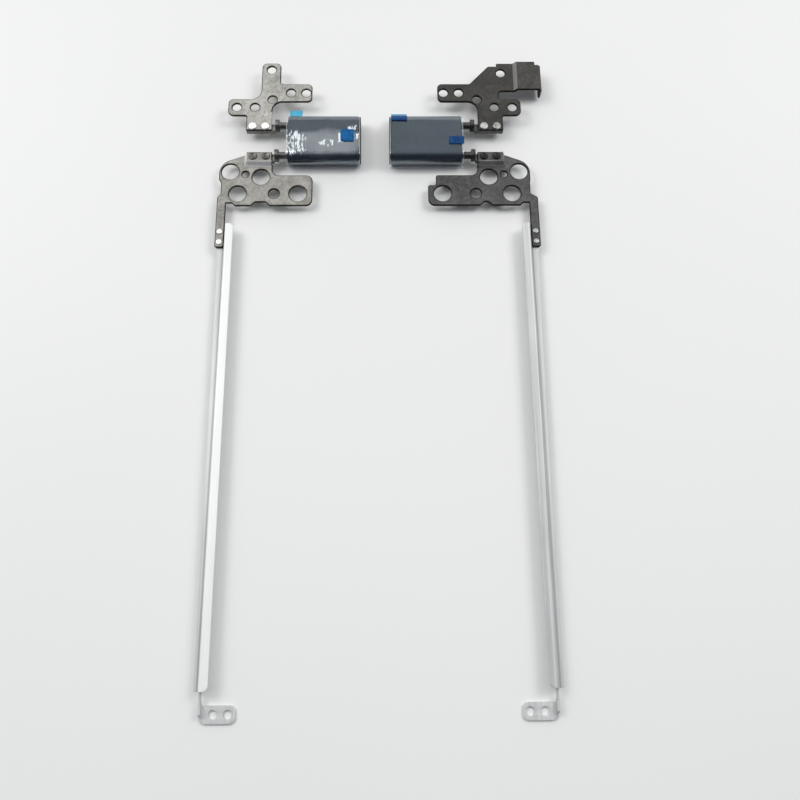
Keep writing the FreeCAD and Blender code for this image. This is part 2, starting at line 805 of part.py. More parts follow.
def make_display_bracket(label, side):
    body = new_body(label)
    points = display_outline(side)
    sketch = new_sketch(body, label + "_outline", "XY_Plane", PLATE_LOW)
    draw_polygon(sketch, list(points.values()))
    pad(body, sketch, SHEET)
    round_corners(body, label + "_shoulder", [points["shoulder"]], size("shoulder_round"))
    lobe = ["lobe_low", "lobe_root"] + (["lobe_high"] if side < 0 else [])
    round_corners(body, label + "_lobe", [points[n] for n in lobe], size("lobe_round"))
    small = ["arm_out", "arm_in", "arm_high", "waist_high", "waist_low", "plate_low"]
    small += [] if side < 0 else ["lobe_end", "lobe_step", "lobe_high"]
    round_corners(body, label + "_small", [points[n] for n in small], size("small_round"))
    add_raised_tab(body, label, side)
    drill(body, label + "_holes", display_holes(side), PLATE_TOP, SHEET)
    tab_holes = [(x, y, size("rivet_shank")) for x, y in rivet_spots(side, TAB_IN)]
    drill(body, label + "_tab_holes", tab_holes, TAB_TOP, SHEET)
    finish(body, label, side, 0)


def make_rail(label, side):
    """A bent strip: a low lip under the bracket's arm, an upright web and a raised inner flange."""
    body = new_body(label)
    thick = size("rail_sheet")
    web = web_out(side)
    web_in = web - thick
    top = FLANGE_LOW + size("rail_rise") + thick
    flange_in = web - size("rail_flange")
    rail_top = -size("rail_top")
    rail_end = -size("rail_end")
    ground = -FRAME_Z

    section = [
        (flange_in, top), (web, top), (web, FLANGE_LOW), (web_in, FLANGE_LOW),
        (web_in, top - thick), (flange_in, top - thick),
    ]
    sketch = new_sketch(body, label + "_section", "XZ_Plane", -rail_top)
    draw_polygon(sketch, [(u * side, z) for u, z in section])
    pad(body, sketch, rail_top - rail_end)
    ends = [(flange_in * side, rail_top), (flange_in * side, rail_end)]
    round_corners(body, label + "_ends", ends, size("rail_bend") * 2)

    lip_turn = -size("arm_end") - size("rail_rivet_inset")
    lip_out = web + size("rail_lip")
    lip = [
        (web_in, rail_top), (lip_out, rail_top), (lip_out, -size("arm_end")),
        (lip_out - size("rail_gap") * 2, lip_turn), (web + size("rail_lip_end"), rail_end),
        (web, rail_end), (web_in, rail_end),
    ]
    sketch = new_sketch(body, label + "_lip", "XY_Plane", FLANGE_LOW)
    draw_polygon(sketch, [(u * side, y) for u, y in lip])
    pad(body, sketch, thick)

    foot_end = -size("foot_end")
    foot_top = foot_end + size("foot_width")
    slant = size("neck_slant")
    heel = foot_end + size("foot_heel")
    neck = [
        (rail_end + slant, PLATE_LOW), (heel + thick, PLATE_LOW), (heel, FLANGE_LOW),
        (heel, ground), (foot_top, ground), (foot_top + slant, FLANGE_LOW),
        (rail_end + slant, FLANGE_LOW),
    ]
    start, length = span(side, web_in, web)
    sketch = new_sketch(body, label + "_neck", "YZ_Plane", start)
    draw_polygon(sketch, neck)
    pad(body, sketch, length)

    foot_in = web - size("foot_reach")
    sketch = new_sketch(body, label + "_foot", "XY_Plane", ground)
    draw_box(sketch, (foot_in * side, foot_end), (web * side, foot_top))
    pad(body, sketch, thick)
    toes = [(foot_in * side, foot_end), (foot_in * side, foot_top)]
    round_corners(body, label + "_toes", toes, size("foot_round"))
    round_corners(body, label + "_heel", [(web * side, foot_end)], size("foot_heel"))

    outer = [(web * side, None, top)]
    fillet(body, label + "_top_bend", 1, outer, size("rail_bend"))
    drill(body, label + "_foot_holes", foot_holes(side), ground + thick, thick)
    lip_holes = [(x, y, size("rail_rivet_shank")) for x, y in arm_rivet_spots(side)]
    drill(body, label + "_lip_holes", lip_holes, PLATE_LOW, thick)
    finish(body, label, side, 0)


def foot_holes(side):
    first = web_out(side) - size("foot_reach") + size("foot_hole_inset")
    level = size("foot_width") / 2 - size("foot_end")
    spots = [first, first + size("foot_hole_pitch")]
    return [(u * side, level, size("foot_hole")) for u in spots]


def make_cover(label, side):
    body = new_body(label)
    start, length = span(side, -size("cover_length"), ZERO)
    sketch = new_sketch(body, label + "_outside", "YZ_Plane", start)
    draw_stadium(sketch, COVER_RADIUS)
    pad(body, sketch, length)
    sketch = new_sketch(body, label + "_inside", "YZ_Plane", start)
    draw_stadium(sketch, INNER_RADIUS)
    pocket(body, sketch, length, reverse=True)
    rims = body.newObject("PartDesign::Fillet", label + "_rims")
    base = body.getObject(label + "_inside_pocket")
    names = []
    for number, edge in enumerate(base.Shape.Edges, 1):
        upright = edge.BoundBox.XLength < 1e-4
        outside = abs(edge.Vertexes[0].Z) > (COVER_RADIUS - size("cover_wall") / 2).value
        if upright and outside:
            names.append("Edge%d" % number)
    rims.Base = (base, names)
    bind(rims, "Radius", size("cover_round"))
    doc.recompute()
    finish(body, label, side, 0)


def make_link_plate(label, side, depth, shaft_diameter):
    """An oval plate that fills the cover's bore and carries both shafts and both idler pins."""
    body = new_body(label)
    start, length = span(side, -depth - size("plate_thickness"), -depth)
    sketch = new_sketch(body, label + "_outline", "YZ_Plane", start)
    draw_stadium(sketch, INNER_RADIUS)
    pad(body, sketch, length)
    sketch = new_sketch(body, label + "_bores", "YZ_Plane", start)
    bore = shaft_diameter + size("running_clearance") * 2
    draw_circle(sketch, 0, 0, bore)
    draw_circle(sketch, AXIS_GAP, 0, bore)
    draw_circle(sketch, IDLER_PITCH, 0, size("pin_diameter"))
    draw_circle(sketch, IDLER_PITCH * 2, 0, size("pin_diameter"))
    pocket(body, sketch, length, reverse=True)
    finish(body, label, side, 0)


def make_gear(label, side, place_in_train, keyed):
    """A gear of the train that turns both shafts together, counted from the display shaft."""
    body = new_body(label)
    start, length = span(side, -GEAR_END, -SHOULDER)
    pitch_radius = IDLER_PITCH / 2
    root = pitch_radius - size("tooth_dedendum")
    tip = pitch_radius + size("tooth_addendum")
    sketch = new_sketch(body, label + "_hub", "YZ_Plane", start)
    draw_circle(sketch, 0, 0, root * 2)
    pad(body, sketch, length)
    half_pitch = 180.0 + 180.0 / size("gear_teeth").value
    turn = half_pitch if place_in_train % 2 else 0.0
    sketch = new_sketch(body, label + "_tooth", "YZ_Plane", start, turn)
    foot = root - size("tooth_tip_width")
    draw_polygon(sketch, [
        (foot, -size("tooth_root_width") / 2), (root, -size("tooth_root_width") / 2),
        (tip, -size("tooth_tip_width") / 2), (tip, size("tooth_tip_width") / 2),
        (root, size("tooth_root_width") / 2), (foot, size("tooth_root_width") / 2),
    ])
    tooth = pad(body, sketch, length)
    ring = body.newObject("PartDesign::PolarPattern", label + "_teeth")
    ring.Originals = [tooth]
    ring.Axis = (origin_item(body, "X_Axis"), [""])
    ring.Angle = 360
    bind(ring, "Occurrences", size("gear_teeth"))
    body.Tip = ring
    doc.recompute()
    sketch = new_sketch(body, label + "_bore", "YZ_Plane", start)
    if keyed:
        draw_key_hole(sketch)
    else:
        draw_circle(sketch, 0, 0, size("pin_diameter") + size("running_clearance") * 2)
    pocket(body, sketch, length, reverse=True)
    axis_place = {0: 0, 1: as_dim(1) / 3, 2: as_dim(2) / 3, 3: 1}[place_in_train]
    finish(body, label, side, axis_place)


def draw_key_hole(sketch):
    """The double-D outline of a shaft's keyed end."""
    radius = size("key_diameter").value / 2
    flat = size("key_flat") / 2
    half = (radius * radius - flat.value * flat.value) ** 0.5
    corners = [FreeCAD.Vector(half * a, flat.value * b, 0) for a, b in ((-1, 1), (1, 1), (1, -1), (-1, -1))]
    sketch.addGeometry(Part.LineSegment(corners[0], corners[1]), False)
    sketch.addGeometry(Part.Arc(corners[1], FreeCAD.Vector(radius, 0, 0), corners[2]), False)
    sketch.addGeometry(Part.LineSegment(corners[2], corners[3]), False)
    sketch.addGeometry(Part.Arc(corners[3], FreeCAD.Vector(-radius, 0, 0), corners[0]), False)
    for a, a_end, b, b_end in ((1, 2, 0, 2), (1, 1, 2, 1), (3, 2, 2, 2), (3, 1, 0, 1)):
        sketch.addConstraint(Sketcher.Constraint("Coincident", a, a_end, b, b_end))
    sketch.addConstraint(Sketcher.Constraint("Horizontal", 0))
    sketch.addConstraint(Sketcher.Constraint("Horizontal", 2))
    sketch.addConstraint(Sketcher.Constraint("Coincident", 1, 3, -1, 1))
    sketch.addConstraint(Sketcher.Constraint("Coincident", 3, 3, -1, 1))
    hold(sketch, "DistanceY", 0, 1, flat)
    hold(sketch, "DistanceY", 2, 1, -flat)
    width = sketch.addConstraint(Sketcher.Constraint("Diameter", 1, radius * 2))
    sketch.setExpression("Constraints[%d]" % width, size("key_diameter").text)


def make_washers(label, side, axis):
    """Two keyed washers, one each end of the springs."""
    washers = []
    for name, depth in (("front", STACK), ("back", BACK_WASHER)):
        start, length = span(side, -depth - size("washer_thickness"), -depth)
        disc = cylinder("%s_%s_disc" % (label, name), size("washer_diameter"), length, start, 0, 0)
        key = key_bar("%s_%s_key" % (label, name), start, length)
        washers.append(cut("%s_%s" % (label, name), disc, key))
    finish(group(label + "_pair", washers), label, side, axis)


def make_springs(label, side, axis):
    """Disc springs stacked rim to rim, turned from one sketch of their sections."""
    sketch = doc.addObject("Sketcher::SketchObject", label + "_sections")
    outer = size("spring_diameter") / 2
    inner = size("key_diameter") / 2 + size("running_clearance")
    thick = size("spring_sheet")
    rise = size("spring_rise")
    for i in range(SPRING_COUNT):
        near = SPRINGS + SPRING_PITCH * i
        rim, bore = (ZERO, rise) if i % 2 == 0 else (rise, ZERO)
        corners = [(rim, outer), (rim + thick, outer), (bore + thick, inner), (bore, inner)]
        draw_polygon(sketch, [(-(near + depth) * side, r) for depth, r in corners])
    turned = doc.addObject("Part::Revolution", label + "_stack")
    turned.Source = sketch
    turned.Axis = FreeCAD.Vector(1, 0, 0)
    turned.Angle = 360
    turned.Solid = True
    finish(turned, label, side, axis)


def make_nut(label, side, axis):
    start, length = span(side, -NUT - size("nut_height"), -NUT)
    prism = doc.addObject("Part::Prism", label + "_hexagon")
    prism.Polygon = 6
    bind(prism, "Circumradius", size("nut_width") / 3 ** 0.5)
    bind(prism, "Height", length)
    prism.Placement.Rotation = FreeCAD.Rotation(FreeCAD.Vector(0, 1, 0), 90)
    place(prism, start, 0, 0)
    bore = cylinder(label + "_bore", size("key_diameter"), length, start, 0, 0)
    finish(cut(label + "_cut", prism, bore), label, side, axis)


def make_idler_pins(label, side):
    near = size("plate_recess")
    far = INNER_PLATE + size("plate_thickness")
    start, length = span(side, -far, -near)
    pins = [cylinder("%s_%d" % (label, i), size("pin_diameter"), length, start, IDLER_PITCH * i, 0)
            for i in (1, 2)]
    finish(group(label + "_pair", pins), label, side, 0)


def make_end_cap(label, side):
    """The plug of the cover's inner end, with a lip that seats on the cover's rim."""
    body = new_body(label)
    end = -size("cover_length")
    start, length = span(side, end, end + size("cap_depth"))
    sketch = new_sketch(body, label + "_plug", "YZ_Plane", start)
    draw_stadium(sketch, INNER_RADIUS - size("running_clearance"))
    pad(body, sketch, length)
    start, length = span(side, end - size("cap_lip"), end)
    sketch = new_sketch(body, label + "_lip", "YZ_Plane", start)
    draw_stadium(sketch, COVER_RADIUS - size("cap_step"))
    pad(body, sketch, length)
    finish(body, label, side, 0)


def make_film(label, side):
    """The clear wrap round the cover, with a loose flap along its near side."""
    body = new_body(label)
    outer = COVER_RADIUS + size("film_thickness")
    start, length = span(side, -size("cover_length") - size("film_overhang"), size("film_overhang"))
    sketch = new_sketch(body, label + "_outside", "YZ_Plane", start)
    draw_stadium(sketch, outer)
    pad(body, sketch, length)
    sketch = new_sketch(body, label + "_flap", "YZ_Plane", start)
    flap_top = -size("film_flap_drop")
    draw_box(sketch, (-outer - size("film_flap"), flap_top - size("film_thickness")), (0, flap_top))
    pad(body, sketch, length)
    sketch = new_sketch(body, label + "_inside", "YZ_Plane", start)
    draw_stadium(sketch, COVER_RADIUS)
    pocket(body, sketch, length, reverse=True)
    finish(body, label, side, 0)


def tab_stretch(side, name, at_inner_end):
    """Start and length along X of a tape tab, set in from the cover's inner or outer end."""
    inset = size(name + "_inset")
    length = size(name + "_length")
    far = inset - size("cover_length") + length if at_inner_end else -inset
    return span(side, far - length, far)


def make_pull_tabs(label, side):
    """Two strips of tape: one stands out from the far edge, one lies on the top face."""
    left = side < 0
    edge = "left_edge_tab" if left else "right_edge_tab"
    face = "left_face_tab" if left else "right_face_tab"
    surface = COVER_RADIUS + size("film_thickness")
    thick = size("tape_thickness")
    start, length = tab_stretch(side, edge, at_inner_end=not left)
    low = (start, AXIS_GAP + surface, -thick / 2)
    edge_tab = box(label + "_edge", low, length, size(edge + "_reach"), thick)
    start, length = tab_stretch(side, face, at_inner_end=left)
    low = (start, size(face + "_low"), surface)
    face_tab = box(label + "_face", low, length, size(face + "_width"), thick)
    finish(group(label + "_pair", [edge_tab, face_tab]), label, side, 0)


def make_hinge(name, side):
    make_base_bracket(name + "_base_bracket", side)
    make_shaft(name + "_base_shaft", side, 1, BASE_IN, BASE_OUT)
    make_rivets(name + "_base_rivets", side, 1, rivet_spots(side, BASE_IN), tab_rivet_sizes(),
                -TAB_LOW, TAB_TOP)
    make_display_bracket(name + "_display_bracket", side)
    make_shaft(name + "_display_shaft", side, 0, TAB_IN, TAB_OUT - size("joggle_lap"))
    make_rivets(name + "_display_rivets", side, 0, rivet_spots(side, TAB_IN), tab_rivet_sizes(),
                -TAB_LOW, TAB_TOP, dished=True)
    make_rail(name + "_rail", side)
    rail_rivet_sizes = (size("rail_rivet_shank"), size("rail_rivet_head"), size("rail_rivet_height"),
                        size("rail_rivet_head"), size("rail_rivet_height"))
    make_rivets(name + "_rail_rivets", side, 0, arm_rivet_spots(side), rail_rivet_sizes,
                FLANGE_LOW, PLATE_TOP)
    make_cover(name + "_hinge_cover", side)
    make_link_plate(name + "_outer_link_plate", side, size("plate_recess"), size("neck_diameter"))
    make_link_plate(name + "_inner_link_plate", side, INNER_PLATE, size("key_diameter"))
    make_gear(name + "_display_gear", side, 0, keyed=True)
    make_gear(name + "_display_idler", side, 1, keyed=False)
    make_gear(name + "_base_idler", side, 2, keyed=False)
    make_gear(name + "_base_gear", side, 3, keyed=True)
    make_idler_pins(name + "_idler_pins", side)
    for axis, shaft in enumerate(("display", "base")):
        make_washers("%s_%s_washers" % (name, shaft), side, axis)
        make_springs("%s_%s_springs" % (name, shaft), side, axis)
        make_nut("%s_%s_nut" % (name, shaft), side, axis)
    make_end_cap(name + "_end_cap", side)
    make_film(name + "_protective_film", side)
    make_pull_tabs(name + "_pull_tabs", side)


for hinge_name, hinge_side in SIDES.items():
    make_hinge(hinge_name, hinge_side)
doc.recompute()

for item in doc.Objects:
    if "Invalid" in item.State or "Error" in item.State:
        raise RuntimeError("failed object: " + item.Name)
for node in nodes:
    if node.Shape.isNull() or not node.Shape.isValid():
        raise RuntimeError("bad shape: " + node.Label)

os.makedirs("parts", exist_ok=True)
for node in nodes:
    node.Shape.exportStep("parts/%s.step" % node.Label)
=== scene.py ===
"""Looks of a pair of dual-shaft laptop hinges that lie open on a pale table."""

import json
import math

import bmesh
import bpy
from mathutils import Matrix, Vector, noise

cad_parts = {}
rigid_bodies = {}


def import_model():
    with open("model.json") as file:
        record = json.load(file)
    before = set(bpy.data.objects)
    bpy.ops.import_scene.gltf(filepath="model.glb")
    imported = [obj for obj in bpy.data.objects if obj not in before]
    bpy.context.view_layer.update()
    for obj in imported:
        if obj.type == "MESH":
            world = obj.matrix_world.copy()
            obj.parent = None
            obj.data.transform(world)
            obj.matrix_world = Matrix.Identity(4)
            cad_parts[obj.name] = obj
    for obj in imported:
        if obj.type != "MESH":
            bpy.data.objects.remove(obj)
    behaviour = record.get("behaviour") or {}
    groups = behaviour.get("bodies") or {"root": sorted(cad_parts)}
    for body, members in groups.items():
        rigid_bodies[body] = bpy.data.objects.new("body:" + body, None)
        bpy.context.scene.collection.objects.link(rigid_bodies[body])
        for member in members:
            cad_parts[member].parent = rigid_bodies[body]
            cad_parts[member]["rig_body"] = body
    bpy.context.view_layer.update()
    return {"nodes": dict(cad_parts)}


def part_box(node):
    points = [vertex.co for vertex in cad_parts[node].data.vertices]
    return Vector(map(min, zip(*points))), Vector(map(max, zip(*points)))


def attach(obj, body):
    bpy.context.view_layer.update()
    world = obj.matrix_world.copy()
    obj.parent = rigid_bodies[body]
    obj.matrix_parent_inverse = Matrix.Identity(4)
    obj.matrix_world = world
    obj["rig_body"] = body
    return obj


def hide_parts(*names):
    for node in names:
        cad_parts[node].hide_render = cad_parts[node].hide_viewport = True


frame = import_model()
NODES = frame["nodes"]

MM = 0.001
SIDES = {"left": -1, "right": 1}

# Covers and the room that their film takes, as in the solids
COVER_GAP = 13.5 * MM
COVER_RADIUS = 3.6 * MM
FILM_SKIN = 0.3 * MM
FILM_TOP = COVER_RADIUS + FILM_SKIN
FILM_OVERHANG = 0.5 * MM
FILM_FLAP = 0.9 * MM

# The loose film: its path round a cover, its lift as a share of its room, its haze in mm and its shine
FILM_SHEET = 0.03 * MM
FILM_RADIUS = COVER_RADIUS + 0.02 * MM
FILM_ROOM = FILM_SKIN - 0.08 * MM
FLAP_DROP = 1.35 * MM
FLAP_ANGLE = math.asin(FLAP_DROP / FILM_RADIUS)
FLAP_LENGTH = FILM_TOP + FILM_FLAP - FILM_RADIUS * math.cos(FLAP_ANGLE)
FLAP_RIM = 0.3 * MM
RIM_SHINE = 0.45
UNDERSIDE_STEPS = 24
FOLD_SEED = 7.0
CLING_LIFT = 0.10
TENSION_LIFT = 0.14
LOOSE_LIFT = 0.76
HAZE_MIDDLE = (15.0, 12.0)
HAZE_HALF = (17.0, 6.5)
FILM_INDEX = 1.45
HAZE_LAYERS = 3.9
CLEAR_LAYERS = 0.5
SHINE_LIMIT = 0.18

# Fineness of each film, its haze, and loose patches as (in, along, half in, half along) in mm and a strength
FILMS = {
    "left": {
        "columns": 190, "rows": 150, "haze": 1.0,
        "patches": [
            (3.0, 11.8, 4.4, 6.2, 1.0), (15.4, 12.0, 3.4, 2.0, 0.9), (20.4, 13.6, 1.3, 3.0, 1.0),
            (25.2, 17.9, 2.6, 2.0, 1.0), (26.8, 14.8, 0.9, 2.4, 0.9),
        ],
    },
    "right": {"columns": 120, "rows": 90, "haze": 0.0, "patches": []},
}

# Tape; the spans in TAPES run outward from a cover's outer end in mm, and its angles are in degrees
TAPE_SHEET = 0.06 * MM
TAPE_STEPS = 14
TAPE_COLUMNS = 24
TAPE_RIPPLE = 0.02 * MM
RIPPLE_PITCH = 0.5
FLAG_SAG = 0.25 * MM
FLAG_CURL = 2.4
PALE_BLUE = ((0.05, 0.36, 0.56), (0.09, 0.44, 0.64))
TAPES = {
    "left": {
        "blue": ((0.0, 0.075, 0.24), (0.0, 0.115, 0.33)),
        "flag_span": (-5.2, -0.3), "flag_reach": 3.2, "stuck_angle": 4.0,
        "strip_span": (-25.8, -20.6), "strip_low": 3.9, "strip_width": 5.4,
    },
    "right": {
        "blue": ((0.0, 0.035, 0.13), (0.0, 0.055, 0.19)),
        "flag_span": (-27.6, -21.4), "flag_reach": 1.6, "stuck_angle": 95.0,
        "strip_span": (-5.2, 0.7), "strip_low": 2.7, "strip_width": 3.4,
    },
}

# Widths of the rolled edges, and how they are made
BRACKET_EDGE = 0.38 * MM
RAIL_EDGE = 0.1 * MM
RIVET_EDGE = 0.18 * MM
SHAFT_EDGE = 0.12 * MM
EDGE_SEGMENTS = 3
WELD_DISTANCE = 0.001 * MM
NORMAL_WEIGHT = 50

# How faces and edges are told apart: sizes, heights, parts of a normal, and angles
SHEET_LIMIT = 2.6 * MM
SHALLOW_MARK = 0.3 * MM
HOOD_LEVEL = 6.0 * MM
LIP_LEVEL = 4.2 * MM
CUT_SIDE = 0.35
LOOKS_UP = 0.2
SLOPE_END = 0.93
ROUND_START = 0.72
ROUND_END = 0.99
STEP_FACING = -0.05
BEND_ANGLE = math.radians(4)
SHARP_ANGLE = math.radians(35)

# Places of finishes: a node's own, those of a bracket (its rim with painted shade, and its slopes, bends and
# hood with painted highlights), that of a rail's lip, and none for a plain bevel
OWN, RIM, SLOPE, BEND, HOOD = range(5)
LIP = 1
KEEP_FINISH = -1

# Painted shade in the corner of each rail's lip, under its raised flange, by distance from the middle between
# the rails
RAIL_MIDDLE = -1.95 * MM
NECK_DISTANCE = 58.0 * MM
LIP_WIDTH = 3.2 * MM
CORNER_SHADE = (0.10, 0.10, 0.10)
CORNER_SHADE_STOPS = [(0.0, 0.0), (0.01, 0.4), (0.26, 0.4), (0.36, 0.0)]

# Brackets: dark and light tone, stain and speckle. The left brackets' tones are painted lit and the right
# brackets' painted in deep shade, on one plating
PLATE_ROUGHNESS = (0.46, 0.60)
PLATE_METAL = 0.5
PLATES = {
    "left_base": ((0.34, 0.33, 0.308), (0.47, 0.46, 0.430), (0.15, 0.14, 0.12), 0.55),
    "left_display": ((0.235, 0.228, 0.208), (0.34, 0.33, 0.304), (0.11, 0.103, 0.092), 0.55),
    "right_base": ((0.037, 0.0345, 0.031), (0.056, 0.052, 0.047), (0.020, 0.018, 0.016), 0.7),
    "right_display": ((0.061, 0.061, 0.060), (0.094, 0.094, 0.093), (0.030, 0.029, 0.028), 0.7),
}
RIVET_ROUGHNESS = (0.28, 0.4)
INNER_ROUGHNESS = (0.2, 0.35)

# Where most of a noise texture's values lie, and depths of bump
NOISE_LOW = 0.3
NOISE_HIGH = 0.7
BUMP_DEPTH = 0.05 * MM
SHALLOW_BUMP = 0.04 * MM

# Sockets of a Mix node that is set to colour
MIX_FIRST = 6
MIX_SECOND = 7
MIX_RESULT = 2

# Stage, in metres apart from the camera's place in mm and its turn in degrees
FLOOR_SIZE = 6.0
FLOOR_CLOUD = 300.0
FLOOR_TONES = ((0.82, 0.82, 0.812), (0.85, 0.85, 0.842))
CAMERA_PLACE = (1.26, -98.77, 276.53)
CAMERA_TURN = (16.668, -0.757, -0.582)
CAMERA_LENS = 36.0
SENSOR_WIDTH = 36.0
CLIP_START = 0.01
CLIP_END = 20.0
ROOM_BRIGHT_SIDE = (-0.12, 0.82, 0.55)
ROOM_FADE = (0.05, 0.70)
ROOM_TONES = ((0.13, 0.14, 0.165), (0.97, 0.98, 0.97))
SOFTBOX_SIZE = 0.28
GLINT_SIZE = 0.06


# Node materials


class Shader:
    """A material with one Principled surface and short ways to add the nodes that feed it."""

    def __init__(self, name):
        self.material = bpy.data.materials.new(name)
        self.material.use_nodes = True
        self.tree = self.material.node_tree
        self.surface = self.tree.nodes["Principled BSDF"]
        self.coords = self.tree.nodes.new("ShaderNodeTexCoord").outputs["Object"]

    def set(self, **values):
        """Constant values on the surface's own sockets, with spaces in names written as _."""
        for name, value in values.items():
            self.surface.inputs[name.replace("_", " ")].default_value = value

    def node(self, kind, links=(), **values):
        """A new node with its settings and with sources for its sockets."""
        made = self.tree.nodes.new(kind)
        for name, value in values.items():
            setattr(made, name, value)
        for socket, source in links:
            self.feed(made.inputs[socket], source)
        return made

    def feed(self, socket, source):
        """A link from another socket, or else a constant."""
        if isinstance(source, bpy.types.NodeSocket):
            self.tree.links.new(source, socket)
        else:
            socket.default_value = source

    def plug(self, name, source):
        self.tree.links.new(source, self.surface.inputs[name])

    def stretch(self, scale, turn=0.0):
        """Object coordinates scaled per axis after a turn in degrees about Z."""
        turned = self.node("ShaderNodeMapping", [("Vector", self.coords)])
        turned.inputs["Rotation"].default_value = (0.0, 0.0, math.radians(turn))
        scaled = self.node("ShaderNodeMapping", [("Vector", turned.outputs["Vector"])])
        scaled.inputs["Scale"].default_value = scale
        return scaled.outputs["Vector"]

    def noise(self, scale, detail=4.0, roughness=0.5, distortion=0.0, turn=0.0):
        made = self.node("ShaderNodeTexNoise", [("Vector", self.stretch(scale, turn))])
        made.inputs["Scale"].default_value = 1.0
        made.inputs["Detail"].default_value = detail
        made.inputs["Roughness"].default_value = roughness
        made.inputs["Distortion"].default_value = distortion
        return made.outputs["Fac"]

    def ramp(self, source, stops):
        """A colour ramp through (position, grey or colour) stops."""
        made = self.node("ShaderNodeValToRGB", [("Fac", source)])
        elements = made.color_ramp.elements
        while len(elements) < len(stops):
            elements.new(0.5)
        for element, (position, colour) in zip(elements, stops):
            element.position = position
            if isinstance(colour, float):
                colour = (colour, colour, colour)
            element.color = (*colour, 1.0)
        return made.outputs["Color"]

    def spread(self, source, low, high):
        """A ramp from one grey or colour to another over the usual range of a noise."""
        return self.ramp(source, [(NOISE_LOW, low), (NOISE_HIGH, high)])

    def mix(self, factor, first, second, blend="MIX"):
        made = self.node("ShaderNodeMix", data_type="RGBA", blend_type=blend)
        self.feed(made.inputs["Factor"], factor)
        for socket, source in ((made.inputs[MIX_FIRST], first), (made.inputs[MIX_SECOND], second)):
            if isinstance(source, tuple):
                source = (*source, 1.0)
            self.feed(socket, source)
        return made.outputs[MIX_RESULT]

    def mottle(self, amount, tone, source, low, high):
        """The tone made lighter and darker by a pattern that goes from one grey to another."""
        return self.mix(amount, tone, self.spread(source, low, high), "OVERLAY")

    def math(self, operation, *sources):
        made = self.node("ShaderNodeMath", operation=operation)
        for socket, source in zip(made.inputs, sources):
            self.feed(socket, source)
        return made.outputs[0]

    def bump(self, height, strength, distance=BUMP_DEPTH):
        made = self.node("ShaderNodeBump", [("Height", height)])
        made.inputs["Strength"].default_value = strength
        made.inputs["Distance"].default_value = distance
        self.plug("Normal", made.outputs["Normal"])


def per_mm(x, y=None, z=None):
    """Texture scale for features of the given sizes in millimetres along X, Y and Z."""
    y = x if y is None else y
    z = x if z is None else z
    return (1 / (x * MM), 1 / (y * MM), 1 / (z * MM))


def stamped_steel(name, dark, light, stain, roughness, speckle=0.5, metal=1.0):
    """Plated sheet steel: cloudy tone, tumbling marks, dark specks, and worn and scratched places."""
    shader = Shader(name)
    clouds = shader.noise(per_mm(8.0), detail=3.0)
    marks = shader.noise(per_mm(1.6), detail=5.0, roughness=0.7)
    grain = shader.noise(per_mm(0.35), detail=2.0)
    specks = shader.noise(per_mm(1.1), detail=3.0, roughness=0.65, distortion=0.4)
    scratches = shader.noise(per_mm(0.14, 7.0, 7.0), detail=2.0, turn=28.0)
    worn = shader.noise(per_mm(2.6), detail=5.0, roughness=0.68, distortion=0.6)
    bare = tuple(min(1.0, 1.9 * part) for part in light)
    tone = shader.ramp(clouds, [(0.35, dark), (0.65, light)])
    tone = shader.mottle(speckle * 0.6, tone, marks, 0.12, 0.88)
    tone = shader.mix(shader.ramp(specks, [(0.56, 0.0), (0.66, speckle)]), tone, stain)
    tone = shader.mix(shader.ramp(worn, [(0.52, 0.0), (0.70, 0.5 * speckle)]), tone, bare)
    tone = shader.mix(shader.ramp(scratches, [(0.70, 0.0), (0.74, 0.35)]), tone, bare)
    shader.plug("Base Color", tone)
    shader.plug("Roughness", shader.spread(marks, *roughness))
    shader.set(Metallic=metal)
    shader.bump(shader.math("ADD", grain, marks), 0.14)
    return shader.material


def plate_steel(name, dark, light, stain, speckle):
    """The plating of the brackets."""
    return stamped_steel(name, dark, light, stain, PLATE_ROUGHNESS, speckle, PLATE_METAL)


def sheared_rim_with_painted_shade(name, dark, light):
    """The rolled and sheared rim of a stamping: rough, oxidised and drawn down the cut, and darkened further
    as painted shade on the rolled edges and cut sides.
    """
    shader = Shader(name)
    drag = shader.noise(per_mm(0.25, 0.25, 2.0), detail=3.0)
    worn = shader.noise(per_mm(2.5), detail=4.0, roughness=0.65)
    tone = shader.ramp(worn, [(0.42, dark), (0.72, light)])
    shader.plug("Base Color", shader.mottle(0.4, tone, drag, 0.2, 0.8))
    shader.plug("Roughness", shader.spread(drag, 0.35, 0.55))
    shader.set(Metallic=1.0)
    shader.bump(drag, 0.2)
    return shader.material


def lip_corner_shade(shader, tone):
    """The tone darkened as painted shade in the corner where a rail's low lip meets its neck, under the
    raised flange.
    """
    across = shader.node("ShaderNodeSeparateXYZ", [("Vector", shader.coords)]).outputs["X"]
    reach = shader.math("ABSOLUTE", shader.math("SUBTRACT", across, RAIL_MIDDLE))
    share = shader.math("DIVIDE", shader.math("SUBTRACT", reach, NECK_DISTANCE), LIP_WIDTH)
    return shader.mix(shader.ramp(share, CORNER_SHADE_STOPS), tone, CORNER_SHADE)


def drawn_steel(name, dark, light, roughness, streak, metal, corner_shade=False):
    """Rolled strip with fine lines along its length, and painted shade in a rail lip's corner if asked for.
    """
    shader = Shader(name)
    lines = shader.noise(per_mm(0.22, 60.0, 0.22), detail=3.0)
    bands = shader.noise(per_mm(0.9, 90.0, 0.9), detail=2.0)
    clouds = shader.noise(per_mm(6.0, 30.0, 6.0), detail=3.0)
    tone = shader.spread(clouds, dark, light)
    tone = shader.mottle(streak, tone, bands, 0.1, 0.9)
    tone = shader.mottle(streak * 0.5, tone, lines, 0.0, 1.0)
    # painted shade in the lip's corner, where asked for
    if corner_shade:
        tone = lip_corner_shade(shader, tone)
    shader.plug("Base Color", tone)
    shader.plug("Roughness", shader.spread(lines, *roughness))
    shader.set(Metallic=metal)
    shader.bump(lines, 0.08)
    return shader.material


